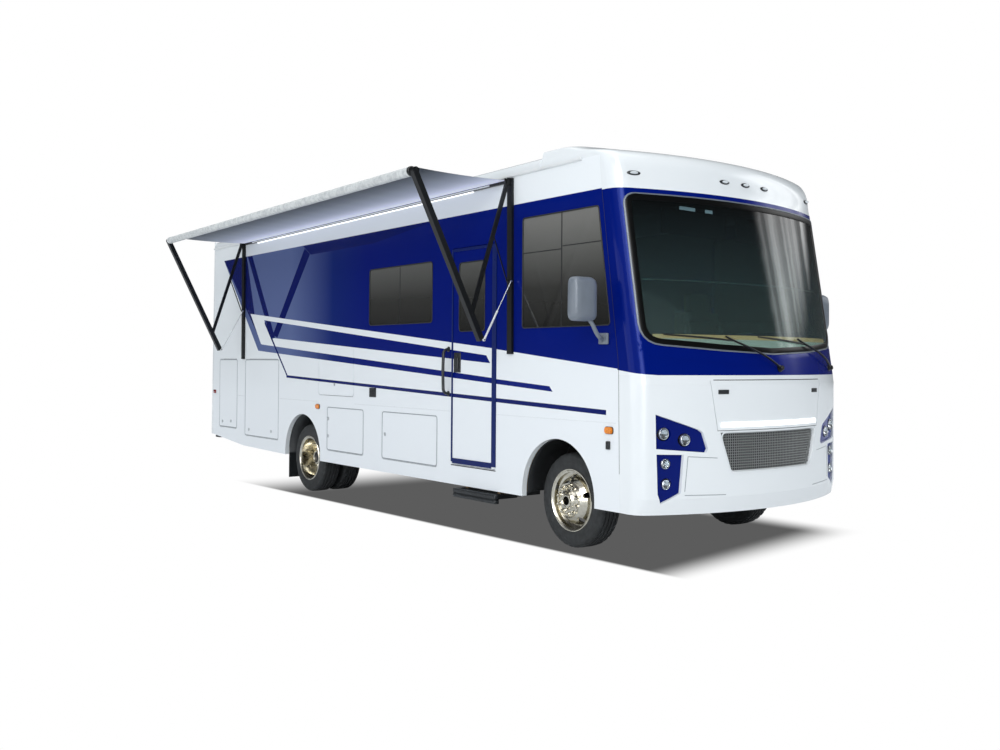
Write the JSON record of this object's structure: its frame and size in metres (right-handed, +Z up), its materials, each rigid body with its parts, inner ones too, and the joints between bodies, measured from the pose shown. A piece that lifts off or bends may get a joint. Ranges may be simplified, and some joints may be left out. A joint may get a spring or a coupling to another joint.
{
  "type": "motorhome",
  "caption": "Bus-style motorhome with a hollow coach body, entry door, storage hatches, twin rear wheels and a side awning.",
  "frame": {"origin": "on the ground under the middle of the whole object's box, awning and mirrors included", "axes": "+Y from the nose to the rear, +X to the street side, -X to the side with the entry door and awning, +Z up"},
  "size_m": [3.9243, 9.23, 3.5426],
  "materials": {
    "gelcoat": "gloss gelcoat, white and blue",
    "tinted_glass": "tinted",
    "tyre": "moulded rubber",
    "polished_steel": "polished",
    "chassis_paint": "satin black chassis paint",
    "black_plastic": "moulded black plastic",
    "lamp_glass": "clear lens",
    "red_lens": "red moulded lens",
    "floor_board": "plywood floor",
    "seat_leather": "soft vinyl",
    "satin_black": "black powder coat",
    "awning_cloth": "coated grey cloth",
    "white_plastic": "weathered white plastic"
  },
  "bodies": {
    "root": {"curb_wall": "gelcoat", "street_wall": "gelcoat", "side_windows": "tinted_glass", "roof_panel": "gelcoat", "rear_cap": "gelcoat", "front_cap": "gelcoat", "windshield_surround": "gelcoat", "windshield": "tinted_glass", "front_fascia": "gelcoat", "grille": "black_plastic", "headlamp_bezels": "black_plastic", "headlamps": "lamp_glass", "chassis_frame": "chassis_paint", "tow_hitch": "chassis_paint", "engine_block": "chassis_paint", "fuel_tank": "chassis_paint", "front_axle": "chassis_paint", "rear_axle": "chassis_paint", "floor_deck": "floor_board", "storage_bays": "floor_board", "dashboard": "black_plastic", "cab_seats": "seat_leather", "steering_wheel": "black_plastic", "mirrors": "black_plastic", "awning_rails": "satin_black", "awning_fabric": "awning_cloth", "rear_bumper": "gelcoat", "tail_lamps": "red_lens", "roof_units": "white_plastic", "mud_flaps": "black_plastic"},
    "front_wheel_curb": {"front_tyre_curb": "tyre", "front_rim_curb": "polished_steel"},
    "front_wheel_street": {"front_tyre_street": "tyre", "front_rim_street": "polished_steel"},
    "rear_wheels_curb": {"rear_tyres_curb": "tyre", "rear_rims_curb": "polished_steel"},
    "rear_wheels_street": {"rear_tyres_street": "tyre", "rear_rims_street": "polished_steel"},
    "steering_curb": {"knuckle_curb": "chassis_paint"},
    "steering_street": {"knuckle_street": "chassis_paint"},
    "entry_door_leaf": {"entry_door": "gelcoat", "entry_door_window": "tinted_glass"},
    "hatch_front_curb": {"curb_hatch_a": "gelcoat"},
    "hatch_middle_curb": {"curb_hatch_b": "gelcoat"},
    "hatch_locker_curb": {"curb_locker": "gelcoat"},
    "hatch_wide_curb": {"curb_hatch_c": "gelcoat"},
    "hatch_narrow_curb": {"curb_hatch_d": "gelcoat"},
    "hatch_front_street": {"street_hatch_a": "gelcoat"},
    "hatch_wide_street": {"street_hatch_c": "gelcoat"},
    "hood_lid": {"hood_panel": "gelcoat"},
    "step": {"entry_step": "chassis_paint"},
    "awning_inner": {"awning_inner_arms": "satin_black"},
    "awning_outer": {"awning_outer_arms": "satin_black", "awning_roller": "satin_black"},
    "awning_link": {"awning_links": "satin_black"},
    "awning_cylinder": {"awning_strut_cylinders": "satin_black"},
    "awning_rod": {"awning_strut_rods": "satin_black"}
  },
  "joints": [
    {"name": "steer_curb", "type": "hinge", "parent": "root", "child": "steering_curb", "pos_m": [-0.50025, -3.3, 0.402], "axis": [0, 0, 1], "range_deg": [-35, 35]},
    {"name": "steer_street", "type": "hinge", "parent": "root", "child": "steering_street", "pos_m": [1.15975, -3.3, 0.402], "axis": [0, 0, 1], "range_deg": [-35, 35]},
    {"name": "roll_front_curb", "type": "hinge", "parent": "steering_curb", "child": "front_wheel_curb", "pos_m": [-0.65725, -3.3, 0.402], "axis": [1, 0, 0], "continuous": true},
    {"name": "roll_front_street", "type": "hinge", "parent": "steering_street", "child": "front_wheel_street", "pos_m": [1.31675, -3.3, 0.402], "axis": [1, 0, 0], "continuous": true},
    {"name": "roll_rear_curb", "type": "hinge", "parent": "root", "child": "rear_wheels_curb", "pos_m": [-0.61225, 1.526, 0.402], "axis": [1, 0, 0], "continuous": true},
    {"name": "roll_rear_street", "type": "hinge", "parent": "root", "child": "rear_wheels_street", "pos_m": [1.27175, 1.526, 0.402], "axis": [1, 0, 0], "continuous": true},
    {"name": "entry_door_swing", "type": "hinge", "parent": "root", "child": "entry_door_leaf", "pos_m": [-0.92025, -2.42, 1.6], "axis": [0, 0, 1], "range_deg": [0, 90]},
    {"name": "hatch_front_curb_lift", "type": "hinge", "parent": "root", "child": "hatch_front_curb", "pos_m": [-0.92025, -0.887, 1.043], "axis": [0, 1, 0], "range_deg": [0, 90]},
    {"name": "hatch_middle_curb_lift", "type": "hinge", "parent": "root", "child": "hatch_middle_curb", "pos_m": [-0.92025, 0.5025, 1.043], "axis": [0, 1, 0], "range_deg": [0, 90]},
    {"name": "hatch_locker_curb_lift", "type": "hinge", "parent": "root", "child": "hatch_locker_curb", "pos_m": [-0.92025, 0.73, 1.709], "axis": [0, 1, 0], "range_deg": [0, 90]},
    {"name": "hatch_wide_curb_swing", "type": "hinge", "parent": "root", "child": "hatch_wide_curb", "pos_m": [-0.92025, 2.28, 1], "axis": [0, 0, 1], "range_deg": [0, 90]},
    {"name": "hatch_narrow_curb_swing", "type": "hinge", "parent": "root", "child": "hatch_narrow_curb", "pos_m": [-0.92025, 4.272, 1], "axis": [0, 0, -1], "range_deg": [0, 90]},
    {"name": "hatch_front_street_lift", "type": "hinge", "parent": "root", "child": "hatch_front_street", "pos_m": [1.57975, -0.887, 1.043], "axis": [0, -1, 0], "range_deg": [0, 90]},
    {"name": "hatch_wide_street_swing", "type": "hinge", "parent": "root", "child": "hatch_wide_street", "pos_m": [1.57975, 2.28, 1], "axis": [0, 0, -1], "range_deg": [0, 90]},
    {"name": "hood_lift", "type": "hinge", "parent": "root", "child": "hood_lid", "pos_m": [0.32975, -4.615, 1.534], "axis": [-1, 0, 0], "range_deg": [0, 75]},
    {"name": "step_slide", "type": "slide", "parent": "root", "child": "step", "axis": [-1, 0, 0], "range_m": [-0.05, 0.2]},
    {"name": "awning_fold", "type": "hinge", "parent": "root", "child": "awning_inner", "pos_m": [-0.96725, -2.63, 3.178], "axis": [0, 1, -0.0083], "range_deg": [-16.67, 0], "deforming": ["awning_fabric"]},
    {"name": "awning_knee", "type": "hinge", "parent": "awning_inner", "child": "awning_outer", "pos_m": [-1.35025, -2.63993, 1.97604], "axis": [0, 1, -0.0083], "range_deg": [0, 41.73]},
    {"name": "awning_link_turn", "type": "hinge", "parent": "awning_inner", "child": "awning_link", "pos_m": [-1.1148, -2.63383, 2.71495], "axis": [0, 1, -0.0083], "range_deg": [0, 34.56]},
    {"name": "awning_cylinder_turn", "type": "hinge", "parent": "awning_outer", "child": "awning_cylinder", "pos_m": [-1.24579, -2.64172, 1.75998], "axis": [0, 1, -0.0083], "range_deg": [-50.83, 0]},
    {"name": "awning_rod_slide", "type": "slide", "parent": "awning_cylinder", "child": "awning_rod", "axis": [0.4822, 0.0072, 0.876], "range_m": [-0.04138, 0]}
  ],
  "couplings": [
    {"joint": "steer_street", "follows": "steer_curb", "ratio": 1},
    {"joint": "awning_knee", "follows": "awning_fold", "ratio": -2.5},
    {"joint": "awning_link_turn", "follows": "awning_fold", "ratio": -2.0702},
    {"joint": "awning_cylinder_turn", "follows": "awning_fold", "ratio": 3.0463},
    {"joint": "awning_rod_slide", "follows": "awning_fold", "m_per_rad": 0.14154}
  ]
}
